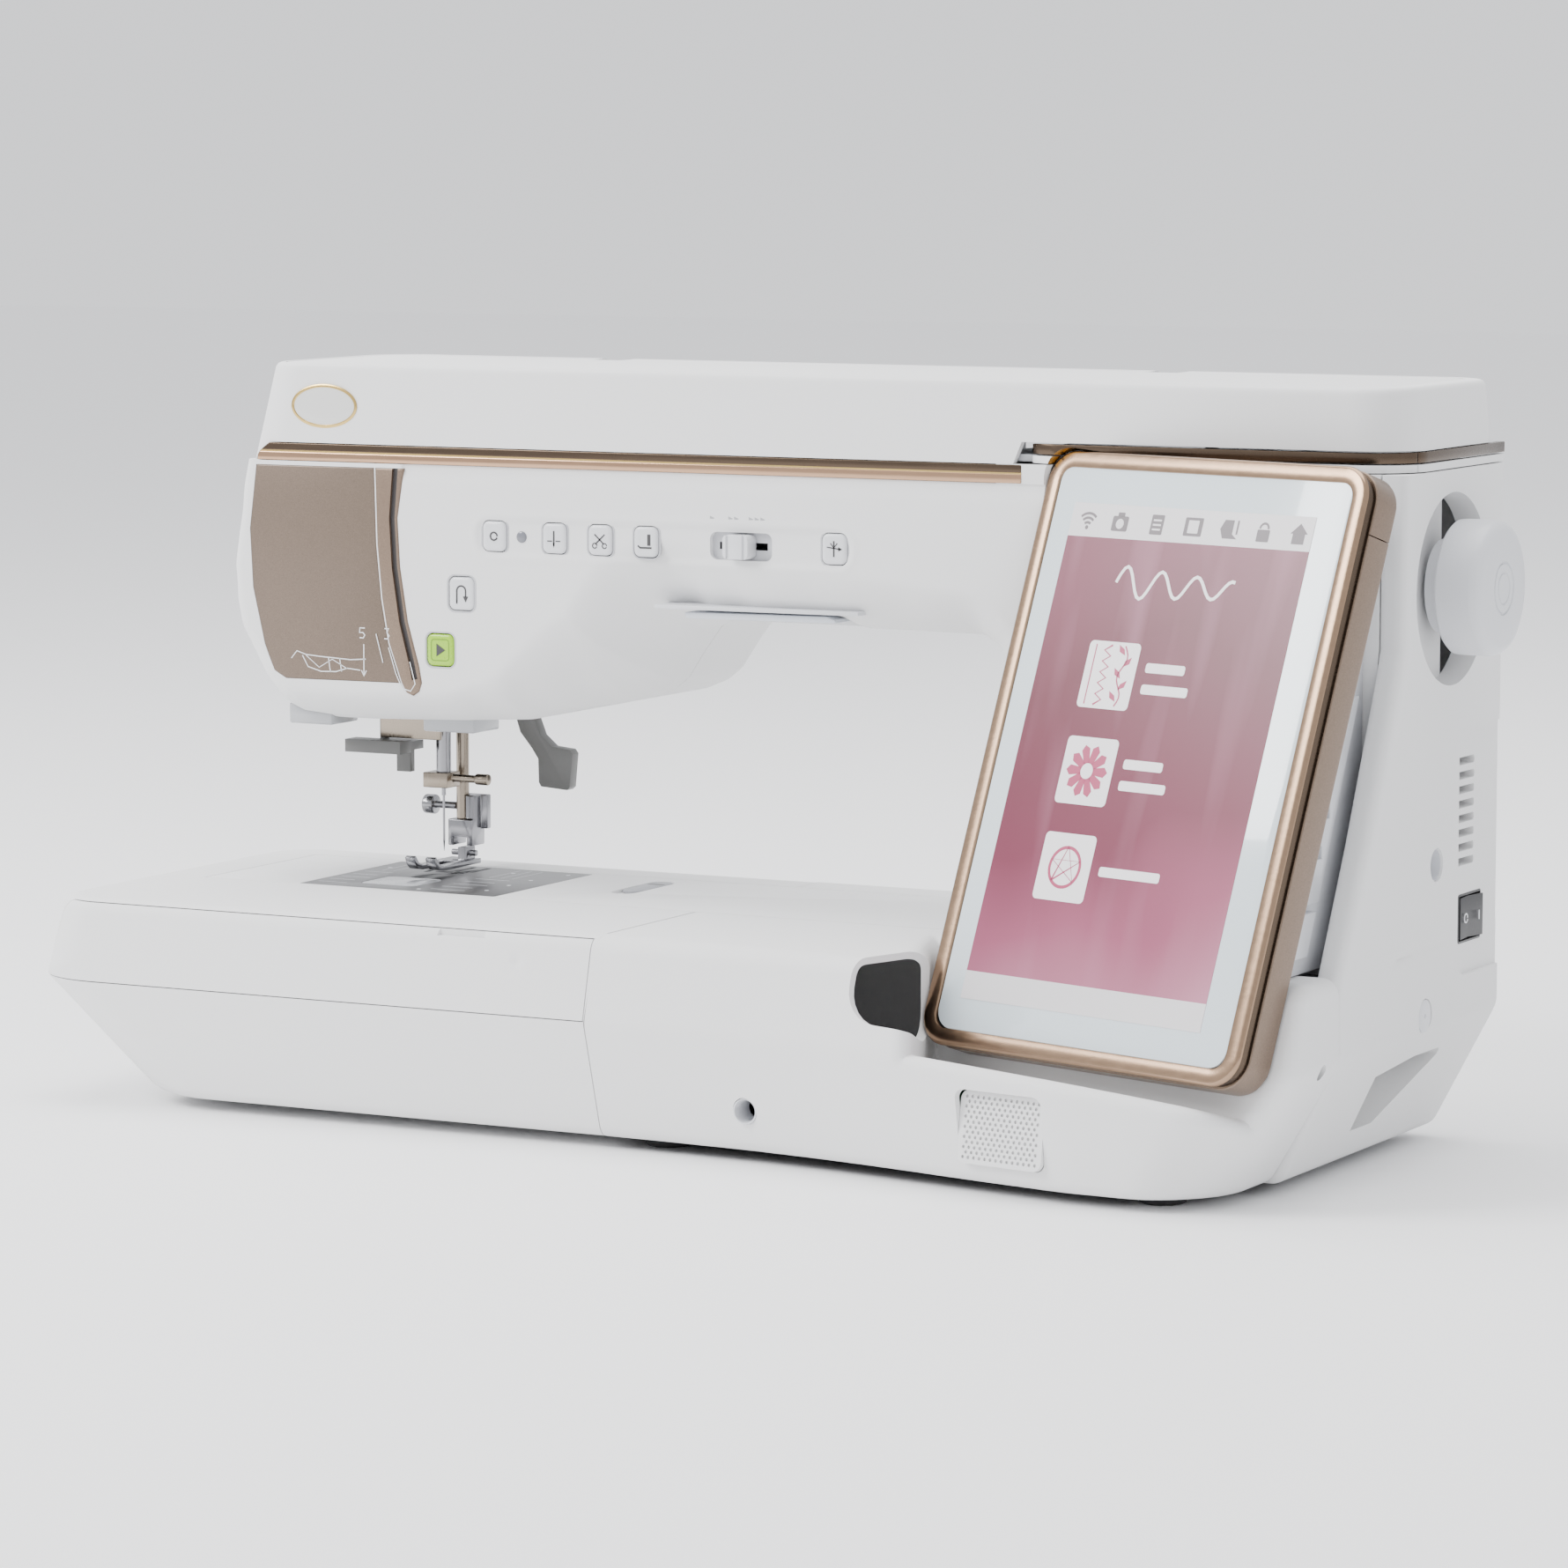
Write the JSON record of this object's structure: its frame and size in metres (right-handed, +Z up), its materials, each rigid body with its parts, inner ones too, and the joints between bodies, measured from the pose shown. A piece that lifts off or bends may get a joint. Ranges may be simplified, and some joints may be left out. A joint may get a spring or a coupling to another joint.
{
  "type": "sewing machine",
  "caption": "Computerised sewing and embroidery machine with a tilted touch screen, hinged lid, slide-off flat bed, working needle drive and handwheel.",
  "frame": {"origin": "Middle of the footprint, on the surface under the rubber feet.", "axes": "+X runs along the machine from the bed's free end to the handwheel, +Y runs from the user's side to the back, +Z is up."},
  "size_m": [0.648, 0.25, 0.331],
  "materials": {
    "white_gloss": "Glossy white moulded casing",
    "white_satin": "Satin white moulded plastic",
    "bronze_paint": "Satin bronze metallic paint with fine flake",
    "bronze_chrome": "Polished bronze plating",
    "lid_brown": "Smooth grey-brown metallic plastic",
    "bezel_glass": "Back-painted pale glass",
    "display": "Lit colour display panel",
    "steel": "Brushed steel plate",
    "polished_steel": "Polished plated steel",
    "champagne": "Champagne nickel plating",
    "grey_plastic": "Warm grey moulded plastic",
    "light_grey": "Light grey moulded plastic",
    "black_plastic": "Black moulded plastic",
    "rubber": "Moulded rubber foot",
    "green_key": "Translucent green key cap",
    "cast_frame": "As-cast aluminium",
    "motor_shell": "Dark painted motor shell",
    "circuit": "Green circuit board",
    "brass_bush": "Sintered bronze bush",
    "clear_lens": "Frosted lamp lens",
    "white_speaker": "Perforated satin plastic"
  },
  "bodies": {
    "machine": {"base_pan": "cast_frame", "base_feet": "rubber", "bed_front_cover": "white_satin", "free_arm_cover": "white_gloss", "arm_front_cover": "white_gloss", "rear_cover": "white_gloss", "side_cover": "white_satin", "trim_strips": "bronze_chrome", "face_plate": "bronze_paint", "thread_channel_cover": "bronze_paint", "work_lamps": "clear_lens", "needle_plate": "steel", "speaker_grille": "white_speaker", "screen_bezel": "bronze_paint", "screen_glass": "bezel_glass", "lcd_panel": "display", "screen_mount": "white_satin", "port_panel": "white_satin", "main_frame": "cast_frame", "main_motor": "motor_shell", "power_board": "circuit", "power_inlet": "black_plastic", "bobbin_case": "black_plastic", "shaft_bushes": "brass_bush", "thread_guide_bracket": "champagne", "upper_deck": "white_satin", "drive_belts": "rubber"},
    "lid": {"lid_shell": "white_gloss", "lid_panel": "lid_brown"},
    "handle": {"carry_handle": "white_gloss"},
    "wheel_and_shaft": {"handwheel": "white_satin", "main_shaft": "polished_steel"},
    "motor_rotor": {"motor_rotor": "polished_steel"},
    "lower_shaft": {"lower_shaft": "polished_steel"},
    "hook": {"rotary_hook": "polished_steel"},
    "take_up": {"take_up_lever": "polished_steel"},
    "needle_assembly": {"needle_bar": "polished_steel", "needle_clamp": "champagne", "needle": "polished_steel"},
    "presser_assembly": {"presser_bar": "champagne", "presser_ankle": "polished_steel"},
    "foot": {"presser_foot": "polished_steel"},
    "presser_lever": {"presser_lever": "grey_plastic"},
    "threader": {"needle_threader": "grey_plastic"},
    "feed": {"feed_dogs": "steel"},
    "stitch_lock_button": {"stitch_lock_button": "white_satin"},
    "needle_position_button": {"needle_position_button": "white_satin"},
    "thread_cutter_button": {"thread_cutter_button": "white_satin"},
    "presser_foot_button": {"presser_foot_button": "white_satin"},
    "threader_button": {"threader_button": "white_satin"},
    "reverse_button": {"reverse_button": "white_satin"},
    "start_stop_button": {"start_stop_button": "green_key"},
    "speed_slider": {"speed_slider": "white_satin"},
    "power_rocker": {"power_rocker": "black_plastic"},
    "flat_bed": {"accessory_case": "white_satin"},
    "storage_door": {"accessory_door": "white_satin"},
    "bobbin_cover": {"bobbin_cover": "clear_lens"},
    "release_slider": {"plate_release_slider": "light_grey"},
    "bobbin_winder": {"bobbin_winder": "polished_steel"},
    "knee_lift": {"knee_lift_socket": "black_plastic"}
  },
  "joints": [
    {"name": "lid_hinge", "type": "hinge", "parent": "machine", "child": "lid", "pos_m": [0, 0.1205, 0.2985], "axis": [1, 0, 0], "range_deg": [-68, 0]},
    {"name": "handle_swing", "type": "hinge", "parent": "machine", "child": "handle", "pos_m": [0, 0.117, 0.295], "axis": [1, 0, 0], "range_deg": [0, 176]},
    {"name": "handwheel_turn", "type": "hinge", "parent": "machine", "child": "wheel_and_shaft", "pos_m": [0.3, 0.062, 0.2454], "axis": [1, 0, 0], "continuous": true},
    {"name": "motor_turn", "type": "hinge", "parent": "machine", "child": "motor_rotor", "pos_m": [0.2, 0.05, 0.13], "axis": [1, 0, 0], "continuous": true},
    {"name": "lower_shaft_turn", "type": "hinge", "parent": "machine", "child": "lower_shaft", "pos_m": [0.1, 0.062, 0.045], "axis": [1, 0, 0], "continuous": true},
    {"name": "hook_turn", "type": "hinge", "parent": "machine", "child": "hook", "pos_m": [-0.2013, 0.044, 0.07], "axis": [0, 0, 1], "continuous": true},
    {"name": "take_up_swing", "type": "hinge", "parent": "machine", "child": "take_up", "pos_m": [-0.213, 0.08, 0.235], "axis": [1, 0, 0], "range_deg": [-14, 14]},
    {"name": "needle_stroke", "type": "slide", "parent": "machine", "child": "needle_assembly", "axis": [0, 0, 1], "range_m": [-0.026, 0]},
    {"name": "presser_lift", "type": "slide", "parent": "machine", "child": "presser_assembly", "axis": [0, 0, 1], "range_m": [-0.0018, 0.0048]},
    {"name": "foot_tilt", "type": "hinge", "parent": "presser_assembly", "child": "foot", "pos_m": [-0.2013, 0.084, 0.1006], "axis": [-1, 0, 0], "range_deg": [0, 8]},
    {"name": "lifter_turn", "type": "hinge", "parent": "machine", "child": "presser_lever", "pos_m": [-0.1765, 0.099, 0.18], "axis": [0, -1, 0], "range_deg": [-13, 34]},
    {"name": "threader_slide", "type": "slide", "parent": "machine", "child": "threader", "axis": [0, 0, -1], "range_m": [0, 0.012]},
    {"name": "feed_motion", "type": "slide", "parent": "machine", "child": "feed", "axis": [0, 1, 0], "range_m": [-0.0022, 0.0022]},
    {"name": "stitch_lock_press", "type": "slide", "parent": "machine", "child": "stitch_lock_button", "axis": [0, 1, 0], "range_m": [0, 0.001], "stiffness_N_per_m": 250},
    {"name": "needle_position_press", "type": "slide", "parent": "machine", "child": "needle_position_button", "axis": [0, 1, 0], "range_m": [0, 0.001], "stiffness_N_per_m": 250},
    {"name": "thread_cutter_press", "type": "slide", "parent": "machine", "child": "thread_cutter_button", "axis": [0, 1, 0], "range_m": [0, 0.001], "stiffness_N_per_m": 250},
    {"name": "presser_foot_press", "type": "slide", "parent": "machine", "child": "presser_foot_button", "axis": [0, 1, 0], "range_m": [0, 0.001], "stiffness_N_per_m": 250},
    {"name": "threader_press", "type": "slide", "parent": "machine", "child": "threader_button", "axis": [0, 1, 0], "range_m": [0, 0.001], "stiffness_N_per_m": 250},
    {"name": "reverse_press", "type": "slide", "parent": "machine", "child": "reverse_button", "axis": [0, 1, 0], "range_m": [0, 0.001], "stiffness_N_per_m": 250},
    {"name": "start_stop_press", "type": "slide", "parent": "machine", "child": "start_stop_button", "axis": [0, 1, 0], "range_m": [0, 0.001], "stiffness_N_per_m": 300},
    {"name": "speed_set", "type": "slide", "parent": "machine", "child": "speed_slider", "axis": [1, 0, 0], "range_m": [-0.008, 0.008]},
    {"name": "power_switch", "type": "hinge", "parent": "machine", "child": "power_rocker", "pos_m": [0.2965, 0.091, 0.101], "axis": [0, 0, 1], "range_deg": [-10, 0]},
    {"name": "flat_bed_slide", "type": "slide", "parent": "machine", "child": "flat_bed", "axis": [-1, 0, 0], "range_m": [0, 0.275]},
    {"name": "storage_door_hinge", "type": "hinge", "parent": "flat_bed", "child": "storage_door", "pos_m": [-0.17, -0.0956, 0.0589], "axis": [1, 0, 0], "range_deg": [0, 85]},
    {"name": "bobbin_cover_lift", "type": "slide", "parent": "machine", "child": "bobbin_cover", "axis": [0, 0, 1], "range_m": [0, 0.02]},
    {"name": "release_slide", "type": "slide", "parent": "machine", "child": "release_slider", "axis": [0, -1, 0], "range_m": [0, 0.008]},
    {"name": "winder_turn", "type": "hinge", "parent": "machine", "child": "bobbin_winder", "pos_m": [0.19, 0.06, 0.31], "axis": [0, 0, 1], "continuous": true},
    {"name": "knee_lift_turn", "type": "hinge", "parent": "machine", "child": "knee_lift", "pos_m": [0.0442, -0.07, 0.0234], "axis": [0, 1, 0], "range_deg": [-4, 26]}
  ],
  "couplings": [
    {"joint": "motor_turn", "follows": "handwheel_turn", "ratio": 3.75},
    {"joint": "lower_shaft_turn", "follows": "handwheel_turn", "ratio": 1},
    {"joint": "hook_turn", "follows": "handwheel_turn", "ratio": 2},
    {"joint": "presser_lift", "follows": "lifter_turn", "m_per_rad": 0.0079}
  ]
}
